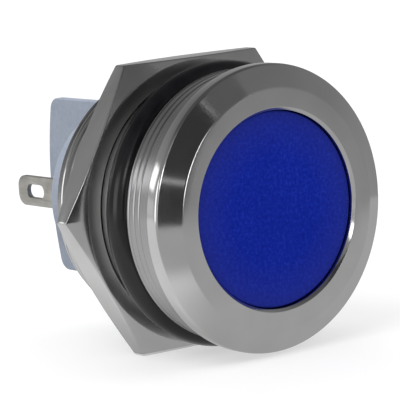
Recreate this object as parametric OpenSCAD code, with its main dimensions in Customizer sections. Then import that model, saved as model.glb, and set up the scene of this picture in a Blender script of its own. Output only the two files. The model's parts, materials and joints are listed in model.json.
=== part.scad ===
// Panel pilot light: a turned metal bezel and threaded barrel in one piece, a blue
// lens, a panel sealing ring, a hexagonal panel nut, and a lamp insert whose moulded
// rear body carries two solder lugs with an insulating fin between them.
//
// Millimetres. Every piece is drawn with the lamp standing lens up: z = 0 is the
// panel seat under the bezel head, the lens is above it and the barrel below it.
// lay_down() then turns the lamp on its side, lens towards -Y and lugs towards +Y,
// with the fin upright along Z and the origin on the axis at the panel seat.

/* [Barrel] */
// Outer diameter of the thread
thread_d = 22; // [20:0.1:24]
// Wall from the thread's crest to the cavity for the lens and the lamp insert
barrel_wall = 1.8; // [1.6:0.05:2.4]
// Length of the barrel behind the panel seat
barrel_len = 12.15; // [11.5:0.05:16]
// Chamfer at the barrel's rear end
barrel_chamfer = 1.1; // [0.8:0.05:1.25]
// Depth of the plain neck below the thread's crest
neck_depth = 0.95; // [0.7:0.05:1.1]
// How far the cone behind the neck reaches under the sealing ring
neck_run_in = 0.4; // [0.2:0.05:0.6]
// Length of the cone between the neck and the thread
neck_cone_t = 0.7; // [0.5:0.05:0.9]
// Pitch of the thread
thread_pitch = 1; // [0.8:0.05:1.2]
// Depth of the thread, from crest to root
thread_depth = 0.6; // [0.4:0.05:0.65]
// Width of the thread's flat crest
thread_crest_w = 0.2; // [0.1:0.05:0.3]
// Wall from the thread's crest to the wider bore at the rear end
tail_wall = 1.35; // [1.2:0.05:1.5]
// Depth of the wider bore
tail_bore_t = 2.45; // [2:0.05:3]

/* [Bezel head] */
// How far the head stands out beyond the thread
head_over = 1.5; // [1:0.1:3]
// Depth of the head, from its face to the panel seat
head_t = 6.1; // [5.6:0.1:8]
// Width of the ledge that holds the lens, between the cavity and the window
ledge_w = 0.65; // [0.4:0.05:1.2]
// Thickness of the lip round the window
lip_t = 1.8; // [1.5:0.1:2.4]
// Chamfer on the window's front edge
window_chamfer = 0.25; // [0.1:0.05:0.4]
// Width of the flat ring round the window
face_w = 1.9; // [1:0.1:2.6]
// Depth of the cone between the flat ring and the rim
cone_t = 1.1; // [0.6:0.1:1.6]
// Width of the cylindrical rim
rim_t = 1.15; // [0.8:0.05:1.5]
// Depth of the step from the rim down to the skirt
step_t = 0.35; // [0.2:0.05:0.5]
// How far the skirt lies inside the rim
skirt_inset = 0.65; // [0.3:0.05:0.8]
// Chamfer on the skirt's rear edge
skirt_chamfer = 0.25; // [0.1:0.05:0.4]
// Number of turned grooves round the skirt
groove_count = 3; // [1:1:3]
// Distance between the turned grooves
groove_pitch = 0.7; // [0.5:0.05:0.8]
// Depth of each turned groove
groove_depth = 0.12; // [0.05:0.01:0.2]
// Width of each turned groove
groove_w = 0.26; // [0.15:0.01:0.3]

/* [Panel fixings] */
// Section diameter of the sealing ring
ring_section_d = 2.5; // [2:0.1:2.8]
// Wall of the nut from the thread's crest to its flats
nut_wall = 1.8; // [1.5:0.1:4]
// Thickness of the nut
nut_t = 2.55; // [2:0.05:4]
// Distance from the panel seat to the nut's front face
nut_gap = 4.2; // [3.6:0.1:5]
// How far inside the flats the nut's front chamfer starts
nut_front_inset = 0.25; // [0:0.05:0.6]
// Slope of the nut's front chamfer, in degrees
nut_front_slope = 13; // [8:1:20]
// How far inside the flats the nut's rear chamfer starts
nut_rear_inset = 0.1; // [0:0.05:0.6]
// Slope of the nut's rear chamfer, in degrees
nut_rear_slope = 22; // [15:1:26]
// Countersink at the front of the nut's hole
nut_front_sink = 0.3; // [0.1:0.05:0.8]
// Countersink at the rear of the nut's hole
nut_rear_sink = 0.65; // [0.1:0.05:0.9]

/* [Lens and lamp insert] */
// How far the lens lies below the bezel's face
lens_recess = 0.5; // [0.2:0.1:0.8]
// Thickness of the lens's flange
lens_flange_t = 1.4; // [1:0.1:1.8]
// Depth of the pocket in the back of the lens
lens_pocket_t = 1.2; // [0.6:0.1:1.4]
// Width of the rim round the pocket in the back of the lens
lens_rim_w = 1; // [0.8:0.1:2]
// Thickness of the gasket in front of the lens's flange
gasket_t = 0.5; // [0.4:0.05:0.8]
// Length of the reflector tube
reflector_len = 5.8; // [4.5:0.1:6.2]
// Wall of the reflector tube at the lens
reflector_front_wall = 0.6; // [0.4:0.05:1]
// Wall of the reflector tube at the board
reflector_rear_wall = 1.4; // [1:0.05:1.8]
// Thickness of the lamp board
board_t = 1; // [0.8:0.1:1.2]
// Length of each light-emitting diode
led_len = 3.5; // [3:0.1:3.6]
// Width of each light-emitting diode
led_w = 2.8; // [2.2:0.1:3]
// Height of each light-emitting diode
led_h = 1.9; // [1:0.1:2]
// Depth of the round dish in each light-emitting diode
led_dish_t = 0.75; // [0.4:0.05:0.9]
// Width of the rim round each diode's dish
led_dish_rim = 0.2; // [0.1:0.05:0.4]
// How much narrower each dish is at its floor, all round
led_dish_taper = 0.35; // [0.1:0.05:0.5]
// Distance from the lamp's axis to each row of light-emitting diodes
led_offset = 3; // [2.6:0.1:3.4]
// Length of each resistor
resistor_len = 3.2; // [2:0.1:3.4]
// Width of each resistor
resistor_w = 1.6; // [1.2:0.1:1.8]
// Height of each resistor
resistor_h = 0.6; // [0.4:0.05:0.8]
// Distance from the lamp's axis to each resistor
resistor_offset = 4.2; // [3.8:0.1:4.6]
// Length of the polarity diode
diode_len = 4.3; // [4:0.1:4.6]
// Width of the polarity diode
diode_w = 2.6; // [2.2:0.1:2.8]
// Height of the polarity diode
diode_h = 2.1; // [1.8:0.1:2.3]

/* [Rear body] */
// Thickness of the flange that seats in the wider bore
flange_t = 1.4; // [1:0.1:1.6]
// Diameter of the boss where it leaves the flange
boss_d = 16.6; // [16:0.1:17]
// Distance from the panel seat to the boss's rear face
boss_reach = 16.1; // [15:0.1:20]
// Draft of the boss, on its diameter
boss_draft = 0.2; // [0.1:0.05:0.4]
// Rounding of the boss's rear edge
boss_round = 0.35; // [0.2:0.05:0.5]
// Thickness of the boss's rear wall
rear_wall_t = 1.9; // [1.5:0.1:2.2]
// Thickness of the sleeve's and the boss's side wall
side_wall_t = 1.1; // [0.8:0.1:1.3]
// Height of the fin behind the boss
fin_h = 10.95; // [8:0.05:14]
// Thickness of the fin at its top
fin_t = 0.9; // [0.8:0.05:1.2]
// Draft of the fin, on its thickness
fin_draft = 0.15; // [0.05:0.05:0.3]
// Drop of the fin's bowed edge from its middle to its sides
fin_bow = 1.05; // [0.5:0.05:1.5]
// Radius of the fin's corners
fin_corner_r = 1.2; // [0.8:0.1:1.6]
// Radius of the fillets at the fin's foot
fin_fillet = 0.4; // [0.2:0.05:0.6]
// Diameter of the vent hole
vent_d = 1.4; // [1:0.1:1.6]
// Sideways distance of the vent hole from the axis
vent_x = 3; // [2.6:0.1:3.6]
// Distance of the vent hole below the axis
vent_drop = 4.2; // [3.8:0.1:4.6]
// Length of the plus sign's arms, end to end
plus_len = 2.3; // [1.6:0.1:2.4]
// Width of the plus sign's arms
plus_w = 0.26; // [0.2:0.02:0.36]
// How far the plus sign stands out
plus_t = 0.14; // [0.08:0.02:0.2]
// Sideways distance of the plus sign from the axis
plus_x = 3.7; // [3.2:0.1:3.9]
// Distance of the plus sign above the axis
plus_rise = 4.45; // [4.2:0.05:4.8]

/* [Terminals] */
// Distance from the lamp's axis to the middle of each lug
lug_x = 4.3; // [4:0.1:4.8]
// Width of each lug
lug_w = 2.8; // [2:0.1:3]
// Thickness of each lug
lug_t = 0.5; // [0.4:0.05:0.6]
// Length of each lug behind the boss's rear face
lug_reach = 10.35; // [8:0.05:13]
// Length of each lug inside the rear body's wall
lug_tail = 1.8; // [1.2:0.1:2.4]
// Radius of the lug's corners
lug_corner_r = 1.05; // [0.4:0.05:1.2]
// Width of the wire hole in each lug
eye_w = 1.25; // [0.8:0.05:1.4]
// Length of the wire hole in each lug
eye_len = 2.7; // [1.6:0.1:3]
// Distance from the lug's end to the nearest edge of its wire hole
eye_edge = 1.4; // [1:0.1:2]
// Diameter of the wires from the lamp board to the lugs
wire_d = 0.7; // [0.5:0.05:0.8]
// Width of the sealant round the foot of each lug
bead_rim = 0.5; // [0.3:0.05:0.6]
// Height of the sealant round the foot of each lug
bead_t = 0.25; // [0.15:0.05:0.4]

/* [Fits] */
// Radial clearance between the nut and the thread
thread_gap = 0.05; // [0.02:0.01:0.09]
// Radial clearance of the pieces that slide into the bores
bore_gap = 0.08; // [0.04:0.01:0.15]
// Clearance between the sealing ring and the bezel
ring_gap = 0.04; // [0.02:0.01:0.1]
// Clearance round what passes through a slot or a hole
slot_gap = 0.05; // [0.03:0.01:0.1]

/* [Hidden] */

ROUND = 96;
SMALL_ROUND = 32;
ARC_STEPS = 10;
CUT = 1; // how far a cutting shape runs past the face that it cuts

// Radii of the turned parts
thread_r = thread_d / 2;
neck_r = thread_r - neck_depth;
bore_r = thread_r - barrel_wall;
tail_bore_r = thread_r - tail_wall;
window_r = bore_r - ledge_w;
face_r = window_r + face_w;
head_r = thread_r + head_over;
skirt_r = head_r - skirt_inset;
neck_len = ring_section_d - neck_run_in;

// The thread's ridges, drawn as rings, from the neck's cone to the chamfer at the end
thread_first_z = -neck_len - neck_cone_t;
thread_last_z = barrel_chamfer - barrel_len;
thread_turns = floor((thread_first_z - thread_last_z) / thread_pitch);

// Heights of the head's edges above the panel seat
rim_top_z = head_t - cone_t;
rim_base_z = rim_top_z - rim_t;
skirt_top_z = rim_base_z - step_t;
groove_first_z = skirt_chamfer + groove_w;

// The stack inside the barrel, from the lip down
lip_z = head_t - lip_t;
flange_z = lip_z - gasket_t;
reflector_z = flange_z - lens_flange_t;
board_z = reflector_z - reflector_len;
sleeve_z = board_z - board_t;
shoulder_z = tail_bore_t - barrel_len;
boss_foot_z = shoulder_z - flange_t;
boss_z = -boss_reach;
cavity_z = boss_z + rear_wall_t;

// Lens
lens_r = window_r - bore_gap;
lens_flange_r = bore_r - bore_gap;
lens_face_z = head_t - lens_recess;
lens_pocket_r = lens_r - lens_rim_w;
lens_edge = 0.12; // bevel on the lens's front edge

// Sealing ring, which rests on the panel seat and on the neck
ring_r = neck_r + ring_gap + ring_section_d / 2;
ring_z = -ring_gap - ring_section_d / 2;

// Nut
nut_flat_r = thread_r + nut_wall;
nut_r = nut_flat_r / cos(30);
nut_front_z = -nut_gap;
nut_rear_z = nut_front_z - nut_t;
nut_hole_r = thread_r + thread_gap;

// Rear body
sleeve_r = bore_r - bore_gap;
flange_r = tail_bore_r - bore_gap;
boss_r = boss_d / 2;
boss_rear_r = boss_r - boss_draft / 2;
sleeve_inner_r = sleeve_r - side_wall_t;
boss_inner_r = boss_rear_r - boss_round - side_wall_t;

// Fin: half its width, its top, and the centres of its bowed edge and its corner
fin_half_w = boss_rear_r;
fin_bow_r = (pow(fin_half_w, 2) + pow(fin_bow, 2)) / (2 * fin_bow);
fin_bow_h = fin_h - fin_bow_r;
fin_corner_x = fin_half_w - fin_corner_r;
fin_corner_h = fin_bow_h + sqrt(pow(fin_bow_r - fin_corner_r, 2) - pow(fin_corner_x, 2));
fin_corner_a = atan2(fin_corner_h - fin_bow_h, fin_corner_x);
fin_root = 0.5; // how deep the fin is rooted in the boss's wall

// Wires run from the board to the inner faces of the lugs
wire_x = lug_x - lug_t / 2 - wire_d / 2 - slot_gap / 2;
wire_hole_d = wire_d + 2 * slot_gap;
wire_proud = 0.5; // how far each wire stands out of the board's front
wire_end_gap = 0.2; // distance from each wire's end to the boss's rear wall
wire_end_z = cavity_z + wire_end_gap;
lug_inner_z = cavity_z + lug_tail;

// Points on an arc about (cx, cy), from angle a0 to a1
function arc(cx, cy, r, a0, a1, steps = ARC_STEPS) =
    [for (i = [0:steps]) let (a = a0 + (a1 - a0) * i / steps) [cx + r * cos(a), cy + r * sin(a)]];

// Lays the lamp on its side: lens towards -Y, terminals towards +Y, fin upright
module lay_down() {
    rotate([90, 0, 0]) children();
}

// Turned solid from an outline of [radius, height] points
module turned(points) {
    rotate_extrude($fn = ROUND) polygon(points);
}

// Slot with round ends, along y, standing on z = 0
module stadium(len, w, h) {
    reach = (len - w) / 2;
    for (side = [-1, 1]) translate([0, side * reach, 0]) cylinder(d = w, h = h, $fn = SMALL_ROUND);
    translate([-w / 2, -reach, 0]) cube([w, 2 * reach, h]);
}

// Fine turned grooves round the skirt, from the seat up, as outline points
function groove_points() = [
    for (i = [0:groove_count - 1])
        let (z = groove_first_z + i * groove_pitch)
        each [[skirt_r, z - groove_w / 2], [skirt_r - groove_depth, z], [skirt_r, z + groove_w / 2]]
];

// V-shaped roots of the thread, from the neck down, as outline points
function thread_points() = [
    for (i = [0:thread_turns - 1])
        let (z = thread_first_z - i * thread_pitch)
        each [
            [thread_r, z],
            [thread_r - thread_depth, z - (thread_pitch - thread_crest_w) / 2],
            [thread_r, z - thread_pitch + thread_crest_w],
        ]
];

// One turned piece: window lip, cone, rim, grooved skirt, neck, thread and both bores
module bezel_housing() {
    outline = concat(
        [
            [window_r, lip_z],
            [window_r, head_t - window_chamfer],
            [window_r + window_chamfer, head_t],
            [face_r, head_t],
            [head_r, rim_top_z],
            [head_r, rim_base_z],
            [skirt_r, skirt_top_z],
        ],
        [for (i = [3 * groove_count - 1:-1:0]) groove_points()[i]],
        [
            [skirt_r, skirt_chamfer],
            [skirt_r - skirt_chamfer, 0],
            [neck_r, 0],
            [neck_r, -neck_len],
        ],
        thread_points(),
        [
            [thread_r, thread_last_z],
            [thread_r - barrel_chamfer, -barrel_len],
            [tail_bore_r, -barrel_len],
            [tail_bore_r, shoulder_z],
            [bore_r, shoulder_z],
            [bore_r, lip_z],
        ]
    );
    color("silver") lay_down() turned(outline);
}

// Blue lens: a disc that fills the window, a flange behind the lip, a pocket at the back
module lens() {
    outline = [
        [0, lens_face_z],
        [lens_r - lens_edge, lens_face_z],
        [lens_r, lens_face_z - lens_edge],
        [lens_r, flange_z],
        [lens_flange_r, flange_z],
        [lens_flange_r, reflector_z],
        [lens_pocket_r, reflector_z],
        [lens_pocket_r, reflector_z + lens_pocket_t],
        [0, reflector_z + lens_pocket_t],
    ];
    color([0.05, 0.08, 0.55]) lay_down() turned(outline);
}

// Flat gasket between the lip and the lens's flange
module lens_gasket() {
    color([0.15, 0.15, 0.16]) lay_down()
        turned([[window_r, flange_z], [lens_flange_r, flange_z], [lens_flange_r, lip_z], [window_r, lip_z]]);
}

// Rubber ring that seals the head to the panel
module panel_o_ring() {
    color([0.05, 0.05, 0.06]) lay_down() translate([0, 0, ring_z])
        rotate_extrude($fn = ROUND) translate([ring_r, 0]) circle(d = ring_section_d, $fn = SMALL_ROUND);
}

// Hexagonal panel nut, chamfered at both faces, with a countersunk plain hole
module hex_nut() {
    corner_r = nut_r + CUT;
    front_land_r = nut_flat_r - nut_front_inset;
    rear_land_r = nut_flat_r - nut_rear_inset;
    front_drop = (corner_r - front_land_r) * tan(nut_front_slope);
    rear_drop = (corner_r - rear_land_r) * tan(nut_rear_slope);
    front_sink_r = nut_hole_r + nut_front_sink;
    rear_sink_r = nut_hole_r + nut_rear_sink;
    blank = [
        [0, nut_front_z],
        [front_land_r, nut_front_z],
        [corner_r, nut_front_z - front_drop],
        [corner_r, nut_rear_z + rear_drop],
        [rear_land_r, nut_rear_z],
        [0, nut_rear_z],
    ];
    hole = [
        [0, nut_front_z + CUT],
        [front_sink_r, nut_front_z + CUT],
        [front_sink_r, nut_front_z],
        [nut_hole_r, nut_front_z - nut_front_sink],
        [nut_hole_r, nut_rear_z + nut_rear_sink],
        [rear_sink_r, nut_rear_z],
        [rear_sink_r, nut_rear_z - CUT],
        [0, nut_rear_z - CUT],
    ];
    color("lightgray") lay_down() difference() {
        intersection() {
            translate([0, 0, nut_rear_z]) cylinder(r = nut_r, h = nut_t, $fn = 6);
            turned(blank);
        }
        turned(hole);
    }
}

// White reflector tube between the lens and the lamp board
module reflector() {
    outline = [
        [lens_flange_r - reflector_front_wall, reflector_z],
        [lens_flange_r, reflector_z],
        [lens_flange_r, board_z],
        [lens_flange_r - reflector_rear_wall, board_z],
    ];
    color("white") lay_down() turned(outline);
}

// Round lamp board with a hole for each wire
module led_board() {
    color([0.93, 0.94, 0.92]) lay_down() difference() {
        translate([0, 0, sleeve_z]) cylinder(r = lens_flange_r, h = board_t, $fn = ROUND);
        for (side = [-1, 1])
            translate([side * wire_x, 0, sleeve_z - CUT])
                cylinder(d = wire_hole_d, h = board_t + 2 * CUT, $fn = SMALL_ROUND);
    }
}

// Light-emitting diode on the front of the board, with a round dish in its top
module led(column, row) {
    dish_d = led_w - 2 * led_dish_rim;
    floor_d = dish_d - 2 * led_dish_taper;
    color([0.95, 0.93, 0.85]) lay_down()
        translate([column * led_offset, row * led_offset, board_z]) difference() {
            translate([-led_len / 2, -led_w / 2, 0]) cube([led_len, led_w, led_h]);
            translate([0, 0, led_h - led_dish_t])
                cylinder(d1 = floor_d, d2 = dish_d, h = led_dish_t, $fn = SMALL_ROUND);
        }
}

// Block-shaped component on the back of the board
module board_component(length, width, height, side_offset) {
    translate([-length / 2, side_offset - width / 2, sleeve_z - height])
        cube([length, width, height]);
}

module resistor(row) {
    color([0.12, 0.12, 0.13]) lay_down()
        board_component(resistor_len, resistor_w, resistor_h, row * resistor_offset);
}

module polarity_diode() {
    color([0.1, 0.1, 0.1]) lay_down() board_component(diode_w, diode_len, diode_h, 0);
}

// Tinned wire from the board to the inner face of a lug
module wire(side) {
    color([0.8, 0.8, 0.78]) lay_down() translate([side * wire_x, 0, wire_end_z])
        cylinder(d = wire_d, h = board_z + wire_proud - wire_end_z, $fn = SMALL_ROUND);
}

// Outline of the fin, seen from its side: x across the lamp, y behind the boss
module fin_outline() {
    right = concat(
        [[fin_half_w, -fin_root]],
        arc(fin_corner_x, fin_corner_h, fin_corner_r, 0, fin_corner_a),
        arc(0, fin_bow_h, fin_bow_r, fin_corner_a, 90)
    );
    count = len(right);
    left = [for (i = [count - 2:-1:0]) [-right[i][0], right[i][1]]];
    polygon(concat(right, left));
}

// Section of the fin, with its draft and the fillets at its foot
module fin_section() {
    top_x = fin_t / 2;
    foot_x = top_x + fin_draft / 2;
    right = concat(
        [[foot_x + fin_fillet, -fin_root], [foot_x + fin_fillet, 0]],
        arc(foot_x + fin_fillet, fin_fillet, fin_fillet, 270, 180),
        [[top_x, fin_h + CUT]]
    );
    count = len(right);
    left = [for (i = [count - 1:-1:0]) [-right[i][0], right[i][1]]];
    polygon(concat(right, left));
}

// Insulating fin between the lugs, rising from the boss's rear face
module fin() {
    depth = 2 * (fin_half_w + CUT);
    thick = 2 * (fin_t + fin_draft + fin_fillet);
    translate([0, 0, boss_z]) mirror([0, 0, 1]) intersection() {
        rotate([90, 0, 90]) linear_extrude(height = thick, center = true) fin_outline();
        rotate([90, 0, 0]) linear_extrude(height = depth, center = true) fin_section();
    }
}

// Raised plus sign beside the positive lug
module plus_sign() {
    translate([plus_x, plus_rise, boss_z - plus_t]) {
        translate([-plus_len / 2, -plus_w / 2, 0]) cube([plus_len, plus_w, 2 * plus_t]);
        translate([-plus_w / 2, -plus_len / 2, 0]) cube([plus_w, plus_len, 2 * plus_t]);
    }
}

// Moulded rear body: sleeve, flange, hollow boss, fin, plus sign, lug slots and vent
module rear_insulator() {
    body = concat(
        [
            [sleeve_inner_r, sleeve_z],
            [sleeve_r, sleeve_z],
            [sleeve_r, shoulder_z],
            [flange_r, shoulder_z],
            [flange_r, boss_foot_z],
            [boss_r, boss_foot_z],
        ],
        arc(boss_rear_r - boss_round, boss_z + boss_round, boss_round, 0, -90),
        [
            [0, boss_z],
            [0, cavity_z],
            [boss_inner_r, cavity_z],
            [boss_inner_r, shoulder_z],
            [sleeve_inner_r, shoulder_z],
        ]
    );
    color([0.52, 0.56, 0.64]) lay_down() difference() {
        union() {
            turned(body);
            fin();
            plus_sign();
        }
        for (side = [-1, 1])
            translate([side * lug_x - lug_t / 2 - slot_gap, -lug_w / 2 - slot_gap, boss_z - CUT])
                cube([lug_t + 2 * slot_gap, lug_w + 2 * slot_gap, rear_wall_t + 2 * CUT]);
        translate([vent_x, -vent_drop, boss_z - CUT])
            cylinder(d = vent_d, h = rear_wall_t + 2 * CUT, $fn = SMALL_ROUND);
    }
}

// Flat solder lug with rounded corners and a long wire hole
module terminal(side) {
    half_w = lug_w / 2;
    corner_y = half_w - lug_corner_r;
    lug_z = boss_z - lug_reach;
    corner_z = lug_z + lug_corner_r;
    blade = concat(
        [[half_w, lug_inner_z], [-half_w, lug_inner_z]],
        arc(-corner_y, corner_z, lug_corner_r, 180, 270),
        arc(corner_y, corner_z, lug_corner_r, 270, 360)
    );
    color([0.72, 0.71, 0.68]) lay_down() translate([side * lug_x, 0, 0]) difference() {
        rotate([90, 0, 90]) linear_extrude(height = lug_t, center = true) polygon(blade);
        translate([-CUT, 0, lug_z + eye_edge + eye_len / 2])
            rotate([90, 0, 90]) stadium(eye_len, eye_w, 2 * CUT);
    }
}

// Sealant round the foot of a lug
module sealant(side) {
    color([0.75, 0.78, 0.82]) lay_down() translate([side * lug_x, 0, boss_z - bead_t]) difference() {
        stadium(lug_w + 2 * bead_rim + 2 * slot_gap, lug_t + 2 * bead_rim, bead_t);
        translate([-lug_t / 2 - slot_gap, -lug_w / 2 - slot_gap, -CUT])
            cube([lug_t + 2 * slot_gap, lug_w + 2 * slot_gap, bead_t + 2 * CUT]);
    }
}

bezel_housing();
lens();
lens_gasket();
panel_o_ring();
hex_nut();
reflector();
led_board();
led(1, 1);  // led_1
led(-1, 1);  // led_2
led(-1, -1);  // led_3
led(1, -1);  // led_4
resistor(1);  // resistor_1
resistor(-1);  // resistor_2
polarity_diode();
wire(1);  // wire_positive
wire(-1);  // wire_negative
rear_insulator();
terminal(1);  // terminal_positive
terminal(-1);  // terminal_negative
sealant(1);  // sealant_positive
sealant(-1);  // sealant_negative
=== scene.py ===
import json
import math

import bpy
import bmesh
import numpy as np
from mathutils import Matrix, Vector

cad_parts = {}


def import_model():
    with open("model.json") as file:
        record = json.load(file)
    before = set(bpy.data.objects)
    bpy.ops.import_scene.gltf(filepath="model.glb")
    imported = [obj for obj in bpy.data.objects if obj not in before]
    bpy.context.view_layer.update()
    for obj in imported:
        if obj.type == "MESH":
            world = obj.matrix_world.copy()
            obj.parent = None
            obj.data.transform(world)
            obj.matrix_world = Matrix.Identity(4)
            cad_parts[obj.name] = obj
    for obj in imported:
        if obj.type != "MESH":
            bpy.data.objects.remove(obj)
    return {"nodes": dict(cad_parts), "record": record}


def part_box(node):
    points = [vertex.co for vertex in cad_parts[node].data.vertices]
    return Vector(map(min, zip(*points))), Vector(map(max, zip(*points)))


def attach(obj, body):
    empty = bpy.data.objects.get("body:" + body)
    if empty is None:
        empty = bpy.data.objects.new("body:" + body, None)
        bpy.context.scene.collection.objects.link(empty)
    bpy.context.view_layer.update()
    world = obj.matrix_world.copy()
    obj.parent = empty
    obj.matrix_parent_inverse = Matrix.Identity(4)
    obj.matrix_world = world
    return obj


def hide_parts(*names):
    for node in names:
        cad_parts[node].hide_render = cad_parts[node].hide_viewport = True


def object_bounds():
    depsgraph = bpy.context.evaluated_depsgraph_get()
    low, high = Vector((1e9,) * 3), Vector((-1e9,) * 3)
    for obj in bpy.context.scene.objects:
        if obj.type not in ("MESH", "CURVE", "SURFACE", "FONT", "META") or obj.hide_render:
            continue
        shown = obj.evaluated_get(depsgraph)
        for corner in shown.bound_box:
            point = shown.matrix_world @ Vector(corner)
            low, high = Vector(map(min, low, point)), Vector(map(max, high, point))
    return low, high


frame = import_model()
CAD_LOW, CAD_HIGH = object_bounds()

# Panel pilot light, in metres and in the frame of the CAD: the lens faces -Y, the solder lugs
# point to +Y and the insulating fin stands along Z.

MM = 0.001
TURN = 2 * math.pi

# ---------------------------------------------------------------- sizes

housing_low, housing_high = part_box("bezel_housing")
nut_low, nut_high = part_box("hex_nut")
ring_low, ring_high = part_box("panel_o_ring")
lens_low, lens_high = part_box("lens")
body_low, body_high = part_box("rear_insulator")
lug_low, lug_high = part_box("terminal_positive")
bead_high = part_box("sealant_positive")[1]
mounts = {m["name"]: m for m in frame["record"]["mounts"]}

# Clearances
FIT_GAP = 0.08 * MM
THREAD_GAP = 0.05 * MM
SLOT_GAP = 0.05 * MM

# Bezel head, from the window's face back to the panel seat
SEAT_Y = mounts["panel_seat"]["pos_m"][1]
FACE_Y = housing_low.y
HEAD_R = housing_high.x
WINDOW_R = 8.55 * MM
WINDOW_CHAMFER = 0.25 * MM
WINDOW_ROUND = 0.06 * MM
LIP_T = 1.8 * MM
FACE_R = WINDOW_R + 1.9 * MM
FACE_ROUND = 0.5 * MM
CONE_T = 1.1 * MM
CONE_ROUND = 0.4 * MM
RIM_T = 1.15 * MM
RIM_ROUND = 0.1 * MM
STEP_T = 0.35 * MM
STEP_ROUND = 0.12 * MM
SKIRT_R = HEAD_R - 0.65 * MM
SKIRT_CHAMFER = 0.25 * MM
SKIRT_ROUND = 0.05 * MM
GROOVE_COUNT = 3
GROOVE_PITCH = 0.7 * MM
GROOVE_W = 0.26 * MM
GROOVE_T = 0.06 * MM
GROOVE_EDGE_ROUND = 0.03 * MM
GROOVE_ROOT_ROUND = 0.04 * MM

# Barrel with its bores
BARREL_END_Y = housing_high.y
BARREL_CHAMFER = 1.1 * MM
BARREL_END_ROUND = 0.06 * MM
THREAD_R = mounts["panel_thread"]["dims"]["r_mm"] * MM
BORE_R = THREAD_R - 1.8 * MM
TAIL_R = THREAD_R - 1.35 * MM
TAIL_T = 2.45 * MM
TAIL_ROUND = 0.05 * MM
SHOULDER_Y = BARREL_END_Y - TAIL_T
NECK_R = THREAD_R - 0.95 * MM
NECK_ROUND = 0.15 * MM

# Metric fine thread, which winds back from a short plain collar behind the neck
THREAD_MOUNT_INSET = 0.5 * MM
NECK_CONE_T = 0.7 * MM
THREAD_START_Y = mounts["panel_thread"]["pos_m"][1] - THREAD_MOUNT_INSET - NECK_CONE_T
THREAD_END_Y = BARREL_END_Y - 0.12 * MM
COLLAR_END_Y = nut_low.y + 0.3 * MM
RUN_IN_LEN = 0.25 * MM
RUN_OUT_PROUD = 0.04 * MM
PITCH = 1.0 * MM
THREAD_DEPTH = 0.6134 * PITCH
DEEPENING_LEN = 0.8 * PITCH
CREST_SHARE = 0.17
ROOT_SHARE = 0.17
FLANK_CURVE = 0.35  # 0 makes straight flanks
SAMPLES_PER_PITCH = 14
HOUSING_COLUMNS = 288

# Sealing ring
MOULD_LINE = 0.03 * MM
MOULD_LINE_SPREAD = 0.05
RING_STEPS = 64
RING_COLUMNS = 288

# Panel nut
NUT_SIDES = 6
NUT_SIDE_COLUMNS = 60
NUT_CROWDING = 2.2
NUT_FLAT_R = nut_high.z
NUT_CORNER_ROUND = 0.25 * MM
NUT_HOLE_R = THREAD_R + THREAD_GAP
NUT_FRONT_LAND_R = NUT_FLAT_R - 0.25 * MM
NUT_REAR_LAND_R = NUT_FLAT_R - 0.1 * MM
NUT_FRONT_SLOPE = math.tan(math.radians(13))
NUT_REAR_SLOPE = math.tan(math.radians(22))
NUT_FRONT_SINK = 0.3 * MM
NUT_REAR_SINK = 0.65 * MM
NUT_FINE_ROUND = 0.05 * MM
NUT_SINK_ROUND = 0.06 * MM
NUT_EDGE_ROUND = 0.1 * MM
NUT_FRONT_EDGE_ROUND = 0.16 * MM

# Lens
LENS_R = WINDOW_R - FIT_GAP
LENS_ROUND = 0.15 * MM
LENS_FLANGE_R = BORE_R - FIT_GAP
LENS_FLANGE_Y = FACE_Y + LIP_T + 0.5 * MM
LENS_POCKET_R = LENS_R - 1.0 * MM
LENS_POCKET_Y = lens_high.y - 1.2 * MM
LENS_RINGS = (0.0, 3 * MM, 6 * MM)  # circles of vertices across the flat front
LENS_FLAT_R = 7.6 * MM
LENS_COLUMNS = 192

# Rear body
BOSS_R = 8.3 * MM
BOSS_REAR_R = 8.2 * MM
BOSS_Y = bead_high.y - 0.25 * MM
BOSS_FOOT_Y = SHOULDER_Y + 1.4 * MM
BOSS_FOOT_ROUND = 0.15 * MM
BOSS_ROUND = 0.35 * MM
BODY_WALL = 1.1 * MM
SLEEVE_R = BORE_R - FIT_GAP
CAVITY_R = BOSS_REAR_R - BOSS_ROUND - BODY_WALL
CAVITY_Y = BOSS_Y - 1.9 * MM
FLANGE_R = TAIL_R - FIT_GAP
FLANGE_ROUND = 0.1 * MM
FLANGE_REAR_ROUND = 0.12 * MM
BODY_COLUMNS = 160
VENT_D = 1.4 * MM
VENT_X = 3.0 * MM
VENT_Z = -4.2 * MM
VENT_SINK_R = 0.16 * MM
VENT_SINK_T = 0.08 * MM
VENT_COLUMNS = 40
PLUS_LEN = 2.3 * MM
PLUS_W = 0.26 * MM
PLUS_T = 0.2 * MM
PLUS_X = 3.7 * MM
PLUS_Z = 4.45 * MM
CUT = 1.0 * MM  # how far a cutting shape reaches past the wall that it cuts

# Insulating fin
FIN_TOP_Y = body_high.y
FIN_H = FIN_TOP_Y - BOSS_Y
FIN_T = 0.9 * MM
FIN_DRAFT = 0.15 * MM
FIN_BOW = 1.05 * MM
FIN_CORNER_R = 1.2 * MM
FIN_EDGE = 0.16 * MM
FIN_EDGE_STEPS = 4
FIN_ROOT = 0.5 * MM
FIN_FILLET = 0.4 * MM
FILLET_ROOT = 0.3 * MM
FILLET_INSET = 0.1 * MM

# Solder lugs
LUG_X = (lug_low.x + lug_high.x) / 2
LUG_T = lug_high.x - lug_low.x
LUG_W = lug_high.z - lug_low.z
LUG_CORNER_R = 1.05 * MM
LUG_EDGE = 0.07 * MM
EYE_W = 1.25 * MM
EYE_LEN = 2.7 * MM
EYE_EDGE = 1.4 * MM

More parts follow.
